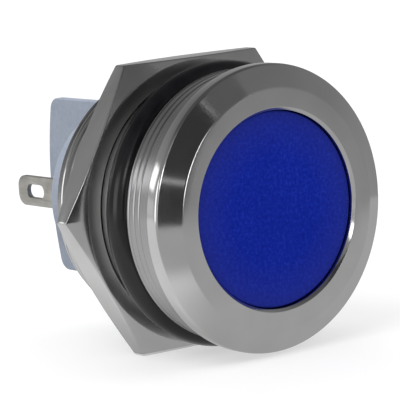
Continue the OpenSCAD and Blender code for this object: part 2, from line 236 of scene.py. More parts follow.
# Drops of sealant, in millimetres: outward from the lug, along its slot, size
DROPS = ((0.25, 1.75, 0.46), (-0.1, 1.72, 0.38), (0.1, -1.7, 0.38), (-0.3, -1.95, 0.24), (0.34, 1.3, 0.24))
DROP_FLATNESS = 0.75
DROP_RIPPLE = 0.16

# ---------------------------------------------------------------- outlines


def ring_angles(count):
    """Evenly spaced angles round the lamp's axis."""
    return [TURN * i / count for i in range(count)]


def arc(cx, cy, radius, start, end, steps):
    """Points on an arc, angles in degrees."""
    points = []
    for i in range(steps + 1):
        a = math.radians(start + (end - start) * i / steps)
        points.append((cx + radius * math.cos(a), cy + radius * math.sin(a)))
    return points


def rounded(corners, steps=4, closed=True):
    """Outline from (x, y, rounding) corners, where each rounding above zero makes an arc."""
    nearly_straight = math.radians(88)
    side_share = 0.45
    result = []
    count = len(corners)
    for i, (x, y, radius) in enumerate(corners):
        corner = Vector((x, y))
        if radius <= 0 or (not closed and i in (0, count - 1)):
            result.append(tuple(corner))
            continue
        before = Vector(corners[i - 1][:2]) - corner
        after = Vector(corners[(i + 1) % count][:2]) - corner
        half = before.angle(after) / 2
        if half > nearly_straight:
            result.append(tuple(corner))
            continue
        reach = min(radius / math.tan(half), side_share * before.length, side_share * after.length)
        radius = reach * math.tan(half)
        bisector = (before.normalized() + after.normalized()).normalized()
        centre = corner + bisector * radius / math.sin(half)
        first = corner + before.normalized() * reach - centre
        last = corner + after.normalized() * reach - centre
        sweep = first.angle_signed(last)
        for k in range(steps + 1):
            a = -sweep * k / steps
            along = first.x * math.cos(a) - first.y * math.sin(a)
            across = first.x * math.sin(a) + first.y * math.cos(a)
            result.append((centre.x + along, centre.y + across))
    return result


# ---------------------------------------------------------------- meshes


def add_object(name, data):
    """New object in the scene for a mesh, curve, light or camera."""
    made = bpy.data.objects.new(name, data)
    bpy.context.scene.collection.objects.link(made)
    return made


def mesh_object(name, vertices, faces):
    """New mesh object from lists of vertices and faces."""
    mesh = bpy.data.meshes.new(name)
    mesh.from_pydata(vertices, [], faces)
    return add_object(name, mesh)


def bmesh_object(name, work):
    """New mesh object from a bmesh, which is freed."""
    mesh = bpy.data.meshes.new(name)
    work.to_mesh(mesh)
    work.free()
    return add_object(name, mesh)


def clean(piece, distance=1e-7):
    """Merges doubled vertices, drops faces without area and turns the faces outward."""
    work = bmesh.new()
    work.from_mesh(piece.data)
    bmesh.ops.remove_doubles(work, verts=work.verts, dist=distance)
    bmesh.ops.dissolve_degenerate(work, edges=work.edges, dist=distance)
    bmesh.ops.recalc_face_normals(work, faces=work.faces)
    work.to_mesh(piece.data)
    work.free()


def smooth(piece, angle):
    """Smooth shading with sharp edges above the angle in degrees, and flat faces kept flat."""
    piece.data.shade_smooth()
    piece.data.set_sharp_from_angle(angle=math.radians(angle))
    weighted = piece.modifiers.new("face_weight", "WEIGHTED_NORMAL")
    weighted.keep_sharp = True
    weighted.weight = 100


def grid_faces(rows, columns, close_rows=False, close_columns=True):
    """Quads between neighbouring vertices of a grid that is listed row by row."""
    faces = []
    for i in range(rows if close_rows else rows - 1):
        for j in range(columns if close_columns else columns - 1):
            k = (j + 1) % columns
            n = (i + 1) % rows
            faces.append((i * columns + j, i * columns + k, n * columns + k, n * columns + j))
    return faces


def turned(name, outline, angles, closed=True):
    """Piece turned round the lamp's axis. outline is a list of (radius, y), or a function of the angle."""
    columns = [outline(a) if callable(outline) else outline for a in angles]
    rows = len(columns[0])
    vertices = []
    for i in range(rows):
        for angle, column in zip(angles, columns):
            radius, y = column[i]
            vertices.append((radius * math.cos(angle), y, radius * math.sin(angle)))
    piece = mesh_object(name, vertices, grid_faces(rows, len(angles), close_rows=closed))
    clean(piece)
    return piece


def lofted(name, loops):
    """Closed piece through loops of (x, y, z) points, with a face across each end."""
    count = len(loops[0])
    last = (len(loops) - 1) * count
    faces = grid_faces(len(loops), count)
    faces += [tuple(range(count)), tuple(range(last, last + count))]
    piece = mesh_object(name, [point for loop in loops for point in loop], faces)
    clean(piece)
    return piece


def box_piece(name, low, high):
    """Closed box between two corners."""
    work = bmesh.new()
    bmesh.ops.create_cube(work, size=1)
    for vertex in work.verts:
        for axis in range(3):
            vertex.co[axis] = (low[axis] + high[axis]) / 2 + vertex.co[axis] * (high[axis] - low[axis])
    return bmesh_object(name, work)


def join(name, pieces):
    """One object from several, in the order given."""
    work = bmesh.new()
    for piece in pieces:
        work.from_mesh(piece.data)
        bpy.data.objects.remove(piece)
    return bmesh_object(name, work)


def apply_boolean(piece, cutter, operation):
    """Applies a boolean with cutter, and removes cutter."""
    step = piece.modifiers.new("boolean", "BOOLEAN")
    step.operation = operation
    step.solver = "EXACT"
    step.object = cutter
    evaluated = piece.evaluated_get(bpy.context.evaluated_depsgraph_get())
    piece.modifiers.clear()
    piece.data = bpy.data.meshes.new_from_object(evaluated)
    bpy.data.objects.remove(cutter)


# ---------------------------------------------------------------- node trees

WHITE = (1.0, 1.0, 1.0, 1.0)


class Graph:
    """Short calls for building the node tree of a material or of the world."""

    def __init__(self, owner):
        owner.use_nodes = True
        self.owner = owner
        self.nodes = owner.node_tree.nodes
        self.links = owner.node_tree.links

    def put(self, socket, value):
        """Links the socket to another node's output, or sets its own value."""
        if isinstance(value, bpy.types.NodeSocket):
            self.links.new(value, socket)
        else:
            socket.default_value = value

    def node(self, kind, inputs, **settings):
        """New node with its settings and then its inputs, by name or place."""
        made = self.nodes.new("ShaderNode" + kind)
        for name, value in settings.items():
            setattr(made, name, value)
        for key, value in inputs.items():
            self.put(made.inputs[key], value)
        return made

    def math(self, operation, a, b=0.0):
        return self.node("Math", {0: a, 1: b}, operation=operation).outputs[0]

    def split(self, vector):
        """The X, Y and Z outputs of a vector."""
        return self.node("SeparateXYZ", {0: vector}).outputs

    def between(self, factor, low, high, start=0.0, end=1.0, blend="LINEAR"):
        """factor from start to end mapped to low to high."""
        limits = {"From Min": start, "From Max": end, "To Min": low, "To Max": high}
        return self.node("MapRange", {"Value": factor, **limits}, interpolation_type=blend).outputs["Result"]


class Surface(Graph):
    """Node tree of one piece's material, round its Principled shader."""

    def __init__(self, name):
        super().__init__(bpy.data.materials.new(name))
        self.shader = self.nodes["Principled BSDF"]
        self.place = self.node("TexCoord", {}).outputs["Object"]

    def noise(self, scale, detail, vector=None, roughness=0.5):
        inputs = {"Scale": scale, "Detail": detail, "Roughness": roughness, "Vector": vector or self.place}
        return self.node("TexNoise", inputs).outputs["Fac"]

    def stretch(self, x, y, z):
        return self.node("Mapping", {"Scale": (x, y, z), "Vector": self.place}).outputs["Vector"]

    def lathe_place(self):
        """Vector of distance from the axis and place along it, the same all round."""
        place = self.split(self.place)
        squares = self.math("ADD", self.math("POWER", place["X"], 2.0), self.math("POWER", place["Z"], 2.0))
        radius = self.math("POWER", squares, 0.5)
        return self.node("CombineXYZ", {"X": radius, "Y": place["Y"]}).outputs["Vector"]

    def before(self, y):
        """1 in front of a place on the axis, 0 behind it."""
        return self.math("LESS_THAN", self.split(self.place)["Y"], y)

    def band(self, low_y, high_y):
        """1 between two places on the axis, 0 elsewhere."""
        behind = self.math("GREATER_THAN", self.split(self.place)["Y"], low_y)
        return self.math("MULTIPLY", behind, self.before(high_y))

    def ramp(self, factor, *stops):
        """Colour that follows the factor through (place, colour) stops."""
        node = self.node("ValToRGB", {"Fac": factor})
        elements = node.color_ramp.elements
        while len(elements) < len(stops):
            elements.new(0.5)
        for element, (place, colour) in zip(elements, stops):
            element.position = place
            element.color = (*colour, 1.0)
        return node.outputs["Color"]

    def mix(self, factor, colour, other, blend="MIX"):
        """Colour blended by the factor with another one that is the same all over."""
        inputs = {"Factor": factor, "A": colour, "B": (*other, 1.0)}
        return self.node("Mix", inputs, data_type="RGBA", blend_type=blend).outputs["Result"]

    def bump(self, height, strength, distance, over=None):
        """Normal with the height's bumps, on top of those of another normal."""
        inputs = {"Strength": strength, "Distance": distance, "Height": height}
        if over is not None:
            inputs["Normal"] = over
        return self.node("Bump", inputs).outputs["Normal"]

    def shade(self, **inputs):
        """Sets the shader's inputs by name, with _ for a space, and gives the material."""
        for name, value in inputs.items():
            self.put(self.shader.inputs[name.replace("_", " ")], value)
        return self.owner


# ---------------------------------------------------------------- materials

# How much rougher the turned skirt, the thread's plain collar and the nut's front land are
SKIRT_DULLNESS = 0.14
COLLAR_DULLNESS = 0.35
LAND_DULLNESS = 0.25
SKIRT_START_Y = FACE_Y + CONE_T + RIM_T + 0.2 * MM
LAND_END_Y = nut_low.y + 0.02 * MM


def plated_turned():
    """Bright nickel plate over turned brass: lathe lines, small marks, rougher skirt and collar, and painted
    shade that darkens the skirt's colour.
    """
    g = Surface("plated_brass")
    lines = g.noise(9000.0, 3.0, g.lathe_place(), 0.7)
    marks = g.noise(900.0, 6.0)
    plate = g.ramp(g.noise(160.0, 2.0), (0.3, (0.60, 0.60, 0.598)), (0.7, (0.68, 0.68, 0.678)))
    on_skirt = g.band(SKIRT_START_Y, SEAT_Y)
    on_collar = g.band(SEAT_Y, COLLAR_END_Y)
    rough = g.math("ADD", g.between(marks, 0.07, 0.15), g.between(lines, -0.02, 0.03))
    rough = g.math("ADD", rough, g.math("MULTIPLY", on_skirt, SKIRT_DULLNESS))
    rough = g.math("ADD", rough, g.math("MULTIPLY", on_collar, COLLAR_DULLNESS))
    fine = g.bump(lines, 0.5, 0.004 * MM)
    pits = g.bump(g.noise(5000.0, 2.0), 0.05, 0.004 * MM, fine)
    # Painted shade: the skirt's colour is darkened to stand in for the shade and the black ring's reflection
    # near the seat.
    colour = g.mix(on_skirt, plate, (0.66, 0.66, 0.67), "MULTIPLY")
    return g.shade(Base_Color=colour, Metallic=1.0, Roughness=rough, Normal=pits)


def plated_nut():
    """Bright plate on a milled nut, with a duller front land."""
    g = Surface("plated_nut")
    milled = g.noise(60.0, 5.0, g.stretch(3.0, 60.0, 3.0), 0.6)
    marks = g.noise(1100.0, 6.0)
    plate = g.ramp(g.noise(200.0, 3.0), (0.3, (0.57, 0.57, 0.567)), (0.7, (0.66, 0.66, 0.657)))
    on_land = g.before(LAND_END_Y)
    rough = g.between(marks, 0.08, 0.18)
    rough = g.math("ADD", rough, g.math("MULTIPLY", on_land, LAND_DULLNESS))
    fine = g.bump(milled, 0.12, 0.01 * MM)
    pits = g.bump(g.noise(4200.0, 3.0), 0.12, 0.006 * MM, fine)
    return g.shade(Base_Color=plate, Metallic=1.0, Roughness=rough, Normal=pits)


def blue_lens():
    """Light-diffusing deep blue plastic with fine speckle, paler towards its edge."""
    g = Surface("blue_lens")
    speckle = g.noise(3200.0, 2.0, roughness=0.75)
    clouds = g.noise(220.0, 3.0)
    mixed = g.math("ADD", g.math("MULTIPLY", speckle, 0.85), g.math("MULTIPLY", clouds, 0.15))
    deep = g.ramp(mixed, (0.32, (0.0003, 0.011, 0.285)), (0.5, (0.0015, 0.018, 0.36)),
                  (0.68, (0.009, 0.032, 0.45)))
    radius = g.split(g.lathe_place())["X"]
    edge = g.between(radius, 0.0, 1.0, start=0.55 * WINDOW_R, end=WINDOW_R)
    colour = g.mix(g.math("MULTIPLY", edge, 0.4), deep, (0.034, 0.042, 0.27))
    return g.shade(Base_Color=colour, Roughness=0.42, IOR=1.49, Specular_IOR_Level=0.08,
                   Normal=g.bump(speckle, 0.18, 0.02 * MM))


def rubber(name, low, high, rough):
    """Moulded black rubber with a faint bloom."""
    g = Surface(name)
    bloom = g.noise(500.0, 5.0)
    return g.shade(Base_Color=g.ramp(bloom, (0.35, low), (0.75, high)),
                   Roughness=g.between(bloom, rough, rough + 0.18),
                   Normal=g.bump(g.noise(2600.0, 3.0), 0.12, 0.01 * MM))


def moulded(name, rough_low, rough_high, *stops):
    """Moulded plastic with a fine satin grain, its colour through (place, colour) stops."""
    g = Surface(name)
    tone = g.noise(260.0, 5.0)
    fine = g.noise(3000.0, 3.0)
    mixed = g.math("ADD", g.math("MULTIPLY", tone, 0.55), g.math("MULTIPLY", fine, 0.45))
    return g.shade(Base_Color=g.ramp(mixed, *stops), Roughness=g.between(tone, rough_low, rough_high),
                   Normal=g.bump(fine, 0.18, 0.012 * MM))


def dull_metal(name, low, high, rough_low, rough_high):
    """Dull tin plate with smudges and rolling lines along the strip."""
    g = Surface(name)
    smudge = g.noise(420.0, 6.0)
    rolled = g.noise(140.0, 4.0, g.stretch(14.0, 1.0, 14.0), 0.6)
    mixed = g.math("ADD", g.math("MULTIPLY", smudge, 0.6), g.math("MULTIPLY", rolled, 0.4))
    return g.shade(Base_Color=g.ramp(mixed, (0.35, low), (0.65, high)), Metallic=1.0,
                   Roughness=g.between(mixed, rough_low, rough_high), Normal=g.bump(rolled, 0.2, 0.01 * MM))


def clear_sealant():
    """Clear glossy sealant over the plastic."""
    g = Surface("sealant")
    tone = g.noise(700.0, 3.0)
    return g.shade(Base_Color=g.ramp(tone, (0.3, (0.34, 0.37, 0.43)), (0.7, (0.55, 0.58, 0.62))),
                   Roughness=0.08, Coat_Weight=1.0, Coat_Roughness=0.03,
                   Normal=g.bump(tone, 0.3, 0.05 * MM))


# ---------------------------------------------------------------- pieces


def dress(piece, body, material, node, angle):
    """Shades a finished piece, puts it on its body, and hides the CAD node it replaces."""
    piece.data.materials.clear()
    piece.data.materials.append(material)
    smooth(piece, angle)
    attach(piece, body)
    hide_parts(node)


def thread_radius(turns, y):
    """Radius of the thread's surface at y, turns being the place within one pitch."""
    start = min(max((y - COLLAR_END_Y) / DEEPENING_LEN, 0.0), 1.0)
    share = turns % 1.0
    share = min(share, 1.0 - share)
    crest = CREST_SHARE / 2
    root = 0.5 - ROOT_SHARE / 2
    flank = min(max((share - crest) / (root - crest), 0.0), 1.0)
    eased = flank * flank * (3 - 2 * flank)
    return THREAD_R - start * THREAD_DEPTH * ((1 - FLANK_CURVE) * flank + FLANK_CURVE * eased)


def thread_envelope(y):
    """Outer limit of the thread: the run-in cone behind the neck and the end chamfer."""
    run_in = NECK_R + (y - THREAD_START_Y) * (THREAD_R - NECK_R) / RUN_IN_LEN
    run_out = THREAD_R + RUN_OUT_PROUD - (y - (BARREL_END_Y - BARREL_CHAMFER))
    return min(THREAD_R, run_in, run_out)


def thread_skin():
    """Open helical skin of the thread, from the neck to the barrel's end."""
    step = PITCH / SAMPLES_PER_PITCH
    rows = math.ceil((THREAD_END_Y - THREAD_START_Y) / step) + SAMPLES_PER_PITCH + 1
    vertices = []
    for i in range(rows):
        for j in range(HOUSING_COLUMNS + 1):
            turn = j / HOUSING_COLUMNS
            y = THREAD_START_Y + (i - SAMPLES_PER_PITCH) * step + turn * PITCH
            y = min(max(y, THREAD_START_Y), THREAD_END_Y)
            radius = min(thread_radius(y / PITCH - turn, y), thread_envelope(y))
            angle = TURN * turn
            vertices.append((radius * math.cos(angle), y, radius * math.sin(angle)))
    faces = grid_faces(rows, HOUSING_COLUMNS + 1, close_columns=False)
    piece = mesh_object("thread_skin", vertices, faces)
    clean(piece)
    return piece


def head_outline():
    """Outline of the head, from the window's lip over the rim and skirt to the neck's end."""
    rim_top = FACE_Y + CONE_T
    rim_base = rim_top + RIM_T
    corners = [
        (WINDOW_R, FACE_Y + LIP_T, 0.0),
        (WINDOW_R, FACE_Y + WINDOW_CHAMFER, WINDOW_ROUND),
        (WINDOW_R + WINDOW_CHAMFER, FACE_Y, WINDOW_ROUND),
        (FACE_R, FACE_Y, FACE_ROUND),
        (HEAD_R, rim_top, CONE_ROUND),
        (HEAD_R, rim_base, RIM_ROUND),
        (SKIRT_R, rim_base + STEP_T, STEP_ROUND),
    ]
    for i in reversed(range(GROOVE_COUNT)):
        y = SEAT_Y - SKIRT_CHAMFER - GROOVE_W - i * GROOVE_PITCH
        corners += [
            (SKIRT_R, y - GROOVE_W / 2, GROOVE_EDGE_ROUND),
            (SKIRT_R - GROOVE_T, y, GROOVE_ROOT_ROUND),
            (SKIRT_R, y + GROOVE_W / 2, GROOVE_EDGE_ROUND),
        ]
    corners += [
        (SKIRT_R, SEAT_Y - SKIRT_CHAMFER, SKIRT_ROUND),
        (SKIRT_R - SKIRT_CHAMFER, SEAT_Y, SKIRT_ROUND),
        (NECK_R, SEAT_Y, NECK_ROUND),
        (NECK_R, THREAD_START_Y, 0.0),
    ]
    return rounded(corners, steps=5, closed=False)


def bore_outline():
    """Outline of the barrel's rear end and both bores, up to the window's lip."""
    return rounded([
        (thread_envelope(THREAD_END_Y), THREAD_END_Y, 0.0),
        (thread_envelope(BARREL_END_Y), BARREL_END_Y, BARREL_END_ROUND),
        (TAIL_R, BARREL_END_Y, TAIL_ROUND),
        (TAIL_R, SHOULDER_Y, 0.0),
        (BORE_R, SHOULDER_Y, 0.0),
        (BORE_R, FACE_Y + LIP_T, 0.0),
    ], closed=False)


def bezel_housing():
    """Turned head and barrel with a real helical thread."""
    outline = bore_outline() + head_outline()
    skin = turned("head_skin", outline, ring_angles(HOUSING_COLUMNS), closed=False)
    piece = join("bezel_body", [skin, thread_skin()])
    clean(piece, 2e-6)
    dress(piece, "lamp", plated_turned(), "bezel_housing", angle=28)


def nut_radius(angle):
    """Distance from the axis to the hexagon's side, with slightly rounded corners, one on +X."""
    half_side = TURN / NUT_SIDES / 2
    off = abs((angle + half_side) % (2 * half_side) - half_side)
    centre = (NUT_FLAT_R - NUT_CORNER_ROUND) / math.cos(half_side)
    tangent = math.atan2(NUT_CORNER_ROUND / 2, centre + NUT_CORNER_ROUND * math.cos(half_side))
    if off >= tangent:
        return NUT_FLAT_R / math.cos(half_side - off)
    return centre * math.cos(off) + math.sqrt(NUT_CORNER_ROUND ** 2 - (centre * math.sin(off)) ** 2)


def nut_angles():
    """Angles round the nut, closer together at its corners."""
    side = 360 / NUT_SIDES
    angles = []
    for corner in range(NUT_SIDES):
        for share in np.linspace(-1, 1, NUT_SIDE_COLUMNS, endpoint=False):
            crowded = math.copysign(abs(share) ** NUT_CROWDING, share)
            angles.append(math.radians(side * corner + side / 2 * crowded))
    return angles


def nut_section(angle):
    """Section of the nut at one angle, with cone chamfers that cut the flats in arcs."""
    front = nut_low.y
    rear = nut_high.y
    side = nut_radius(angle)
    drop = max(side - NUT_FRONT_LAND_R, 0.0) * NUT_FRONT_SLOPE
    rise = max(side - NUT_REAR_LAND_R, 0.0) * NUT_REAR_SLOPE
    return rounded([
        (NUT_HOLE_R, rear - NUT_REAR_SINK, NUT_FINE_ROUND),
        (NUT_HOLE_R, front + NUT_FRONT_SINK, NUT_FINE_ROUND),
        (NUT_HOLE_R + NUT_FRONT_SINK, front, NUT_FINE_ROUND),
        (NUT_FRONT_LAND_R, front, NUT_EDGE_ROUND),
        (side, front + drop, NUT_FRONT_EDGE_ROUND),
        (side, rear - rise, NUT_EDGE_ROUND),
        (NUT_REAR_LAND_R, rear, NUT_FINE_ROUND),
        (NUT_HOLE_R + NUT_REAR_SINK, rear, NUT_SINK_ROUND),
    ])


def hex_nut():
    """Hexagonal panel nut."""
    piece = turned("panel_nut", nut_section, nut_angles())
    dress(piece, "nut", plated_nut(), "hex_nut", angle=24)


def panel_ring():
    """Sealing ring with a faint mould line round its outside."""
    section_r = (ring_high.y - ring_low.y) / 2
    middle_r = ring_high.x - section_r
    middle_y = (ring_high.y + ring_low.y) / 2
    outline = []
    for a in ring_angles(RING_STEPS):
        line = MOULD_LINE * math.exp(-(math.sin(a) / MOULD_LINE_SPREAD) ** 2) if math.cos(a) > 0 else 0.0
        radius = section_r - MOULD_LINE + line
        outline.append((middle_r + radius * math.cos(a), middle_y + radius * math.sin(a)))
    piece = turned("sealing_ring", outline, ring_angles(RING_COLUMNS))
    black = rubber("ring_rubber", (0.0025, 0.0025, 0.0035), (0.007, 0.007, 0.009), 0.11)
    dress(piece, "lamp", black, "panel_o_ring", angle=40)


def lens():
    """Blue disc with a rounded front edge, its flange and its rear pocket."""
    front = lens_low.y
    outline = [(radius, front) for radius in LENS_RINGS]
    outline += rounded([
        (LENS_FLAT_R, front, 0.0),
        (LENS_R, front, LENS_ROUND),
        (LENS_R, LENS_FLANGE_Y, 0.0),
    ], closed=False)
    outline += [
        (LENS_FLANGE_R, LENS_FLANGE_Y),
        (LENS_FLANGE_R, lens_high.y),
        (LENS_POCKET_R, lens_high.y),
        (LENS_POCKET_R, LENS_POCKET_Y),
        (0.0, LENS_POCKET_Y),
    ]
    piece = turned("blue_window", outline, ring_angles(LENS_COLUMNS), closed=False)
    dress(piece, "lamp", blue_lens(), "lens", angle=32)


def fin_outline():
    """Outline of the fin as (y, z) points, from one foot over the bowed edge to the other."""
    half = BOSS_REAR_R
    bow_r = (half ** 2 + FIN_BOW ** 2) / (2 * FIN_BOW)
    bow_y = FIN_TOP_Y - bow_r
    corner_z = half - FIN_CORNER_R
    corner_y = bow_y + math.sqrt((bow_r - FIN_CORNER_R) ** 2 - corner_z ** 2)
    turn = math.degrees(math.atan2(corner_y - bow_y, corner_z))
    right = arc(corner_z, corner_y, FIN_CORNER_R, 0, turn, 10) + arc(0, bow_y, bow_r, turn, 90, 14)
    left = [(-z, y) for z, y in reversed(right[:-1])]
    foot = BOSS_Y - FIN_ROOT
    return [(foot, half)] + [(y, z) for z, y in right + left] + [(foot, -half)]


def shrunk(outline, amount):
    """The points of an outline moved inward by the amount, square to the outline."""
    middle = Vector((sum(y for y, z in outline) / len(outline), 0.0))
    points = []
    for i, point in enumerate(outline):
        before = Vector(outline[i - 1])
        after = Vector(outline[(i + 1) % len(outline)])
        shift = Vector((after.y - before.y, before.x - after.x)).normalized() * amount
        sides = (Vector(point) - shift, Vector(point) + shift)
        points.append(min(sides, key=lambda side: (side - middle).length))
    return points


def fin_half_thickness(y):
    """Half the fin's thickness at y, thinner towards its top."""
    share = (y - BOSS_Y) / FIN_H
    return FIN_T / 2 + FIN_DRAFT / 2 * (1 - share)


def fin():
    """Insulating fin with drafted sides and rounded edges."""
    outline = fin_outline()
    quarter = [math.radians(90 * k / FIN_EDGE_STEPS) for k in range(FIN_EDGE_STEPS + 1)]
    loops = []
    for side, angles in ((-1, quarter), (1, quarter[::-1])):
        for a in angles:
            depth = FIN_EDGE * (1 - math.cos(a))
            points = shrunk(outline, FIN_EDGE * (1 - math.sin(a)))
            loops.append([(side * (fin_half_thickness(y) - depth), y, z) for y, z in points])
    return lofted("fin", loops)


def fin_foot():
    """Concave fillets along both sides of the fin's foot."""
    foot_x = FIN_T / 2 + FIN_DRAFT / 2 + FIN_FILLET
    right = [(foot_x, BOSS_Y - FILLET_ROOT), (foot_x, BOSS_Y)]
    right += arc(foot_x, BOSS_Y + FIN_FILLET, FIN_FILLET, 270, 180, 8)[1:]
    outline = right + [(-x, y) for x, y in reversed(right)]
    reach = BOSS_REAR_R - BOSS_ROUND - FILLET_INSET
    return lofted("fin_foot", [[(x, y, z) for x, y in outline] for z in (-reach, reach)])


def body_outline():
    """Outline of the rear body's sleeve, flange and hollow boss."""
    return rounded([
        (SLEEVE_R - BODY_WALL, body_low.y, 0.0),
        (SLEEVE_R, body_low.y, 0.0),
        (SLEEVE_R, SHOULDER_Y, 0.0),
        (FLANGE_R, SHOULDER_Y, FLANGE_ROUND),
        (FLANGE_R, BOSS_FOOT_Y, FLANGE_REAR_ROUND),
        (BOSS_R, BOSS_FOOT_Y, BOSS_FOOT_ROUND),
        (BOSS_REAR_R, BOSS_Y, BOSS_ROUND),
        (0.0, BOSS_Y, 0.0),
        (0.0, CAVITY_Y, 0.0),
        (CAVITY_R, CAVITY_Y, 0.0),
        (CAVITY_R, SHOULDER_Y, 0.0),
        (SLEEVE_R - BODY_WALL, SHOULDER_Y, 0.0),
    ], steps=6)


def add_plus_sign(piece):
    """Raised plus sign beside the positive lug."""
    for length, width in ((PLUS_LEN, PLUS_W), (PLUS_W, PLUS_LEN)):
        low = (PLUS_X - length / 2, BOSS_Y - PLUS_T, PLUS_Z - width / 2)
        high = (PLUS_X + length / 2, BOSS_Y + PLUS_T, PLUS_Z + width / 2)
        apply_boolean(piece, box_piece("arm", low, high), "UNION")


def cut_slots(piece):
    """Slot through the boss's rear wall for each lug."""
    for x in (-LUG_X, LUG_X):
        low = (x - LUG_T / 2 - SLOT_GAP, CAVITY_Y - CUT, -LUG_W / 2 - SLOT_GAP)
        high = (x + LUG_T / 2 + SLOT_GAP, BOSS_Y + CUT, LUG_W / 2 + SLOT_GAP)
        apply_boolean(piece, box_piece("slot", low, high), "DIFFERENCE")


def cut_vent(piece):
    """Vent hole through the boss's rear wall, slightly countersunk."""
    outline = [
        (0.0, CAVITY_Y - CUT),
        (VENT_D / 2, CAVITY_Y - CUT),
        (VENT_D / 2, BOSS_Y - VENT_SINK_T),
        (VENT_D / 2 + VENT_SINK_R, BOSS_Y + VENT_SINK_T),
        (0.0, BOSS_Y + VENT_SINK_T),
    ]
    vent = turned("vent", outline, ring_angles(VENT_COLUMNS), closed=False)
    for vertex in vent.data.vertices:
        vertex.co.x += VENT_X
        vertex.co.z += VENT_Z
    apply_boolean(piece, vent, "DIFFERENCE")


def rear_body():
    """Moulded rear body: flange, boss, fin, plus sign, lug slots and vent hole."""
    piece = turned("rear_body", body_outline(), ring_angles(BODY_COLUMNS))
    apply_boolean(piece, fin(), "UNION")
    apply_boolean(piece, fin_foot(), "UNION")
    add_plus_sign(piece)
    cut_slots(piece)
    cut_vent(piece)
    clean(piece)
    plastic = moulded("grey_plastic", 0.42, 0.56, (0.3, (0.285, 0.325, 0.405)),
                      (0.5, (0.335, 0.378, 0.465)), (0.72, (0.40, 0.445, 0.53)))
    dress(piece, "lamp", plastic, "rear_insulator", angle=30)


def lug_outlines():
    """Outlines of a lug and of its wire hole, as (y, z) points."""
    half = LUG_W / 2
    corner_y = lug_high.y - LUG_CORNER_R
    blade = [(lug_low.y, -half)]
    blade += arc(corner_y, -half + LUG_CORNER_R, LUG_CORNER_R, -90, 0, 10)
    blade += arc(corner_y, half - LUG_CORNER_R, LUG_CORNER_R, 0, 90, 10)
    blade += [(lug_low.y, half)]
    far = lug_high.y - EYE_EDGE - EYE_W / 2
    near = lug_high.y - EYE_EDGE - EYE_LEN + EYE_W / 2
    eye = arc(far, 0, EYE_W / 2, -90, 90, 14) + arc(near, 0, EYE_W / 2, 90, 270, 14)
    return blade, eye


def lug(side, name, node, material):
    """Stamped solder lug with softly rolled edges, drawn flat and then stood on its edge."""
    curve = bpy.data.curves.new(name, "CURVE")
    curve.dimensions = "2D"
    curve.fill_mode = "BOTH"
    for outline in lug_outlines():
        spline = curve.splines.new("POLY")
        spline.points.add(len(outline) - 1)
        spline.use_cyclic_u = True
        for point, (y, z) in zip(spline.points, outline):
            point.co = (y, z, 0.0, 1.0)
    curve.extrude = LUG_T / 2 - LUG_EDGE
    curve.bevel_depth = LUG_EDGE
    curve.bevel_resolution = 2
    curve.offset = -LUG_EDGE
    drawn = add_object(name + "_curve", curve)
    bpy.context.view_layer.update()
    mesh = bpy.data.meshes.new_from_object(drawn.evaluated_get(bpy.context.evaluated_depsgraph_get()))
    bpy.data.objects.remove(drawn)
    for vertex in mesh.vertices:
        y, z, x = vertex.co
        vertex.co = (side * LUG_X + x, y, z)
    piece = add_object(name, mesh)
    clean(piece, 1e-6)
    dress(piece, "lamp", material, node, angle=40)


def sealant(side, name, node, material):
    """Uneven drops of sealant at both ends of a lug's slot."""
    work = bmesh.new()
    for across, along, size in DROPS:
        made = bmesh.ops.create_icosphere(work, subdivisions=4, radius=1.0)
        for vertex in made["verts"]:
            out = vertex.co.normalized()
            wave = math.sin(5 * out.x + 3 * out.z + 7 * along) * math.cos(4 * out.y)
            ripple = 1 + DROP_RIPPLE * wave
            vertex.co.x = (side * LUG_X + side * across * MM) + out.x * size * MM * ripple
            vertex.co.y = BOSS_Y + out.y * DROP_FLATNESS * size * MM * ripple
            vertex.co.z = along * MM + out.z * size * MM * ripple
    piece = bmesh_object(name, work)
    dress(piece, "lamp", material, node, angle=60)


def dress_inner_nodes():
    """Materials for the CAD nodes inside the barrel."""
    white = moulded("white_plastic", 0.4, 0.55, (0.3, (0.78, 0.78, 0.75)), (0.7, (0.88, 0.88, 0.86)))
    mask = moulded("board", 0.25, 0.4, (0.3, (0.70, 0.72, 0.68)), (0.7, (0.82, 0.83, 0.80)))
    diode = moulded("diode_body", 0.3, 0.45, (0.3, (0.72, 0.68, 0.52)), (0.7, (0.86, 0.83, 0.70)))
    black = moulded("component_black", 0.35, 0.5, (0.3, (0.015, 0.015, 0.017)), (0.7, (0.035, 0.035, 0.038)))
    gasket = rubber("gasket_rubber", (0.02, 0.02, 0.02), (0.05, 0.05, 0.05), 0.5)
    wire = dull_metal("tinned_wire", (0.52, 0.51, 0.49), (0.68, 0.67, 0.65), 0.25, 0.4)
    looks = {
        "reflector": white, "led_board": mask, "lens_gasket": gasket, "polarity_diode": black,
        "resistor_1": black, "resistor_2": black, "wire_positive": wire, "wire_negative": wire,
        "led_1": diode, "led_2": diode, "led_3": diode, "led_4": diode,
    }
    for name, material in looks.items():
        node = frame["nodes"][name]
        node.data.materials.clear()
        node.data.materials.append(material)


# ---------------------------------------------------------------- camera

# Where the camera stands from the middle of the bezel's face, how it leans, and how far
# beside and above that middle it aims
VIEW_AZIMUTH = -39.7
VIEW_ELEVATION = 8.8
VIEW_ROLL = 3.4
VIEW_DISTANCE = 225.8 * MM
VIEW_LENS = 238.0
AIM_SIDE = -6.75 * MM
AIM_RISE = 0.85 * MM


def direction(azimuth, elevation):
    """Unit vector towards an azimuth from the front, positive to +X, and an elevation, in degrees."""
    a = math.radians(azimuth)
    e = math.radians(elevation)
    return Vector((math.sin(a) * math.cos(e), -math.cos(a) * math.cos(e), math.sin(e)))


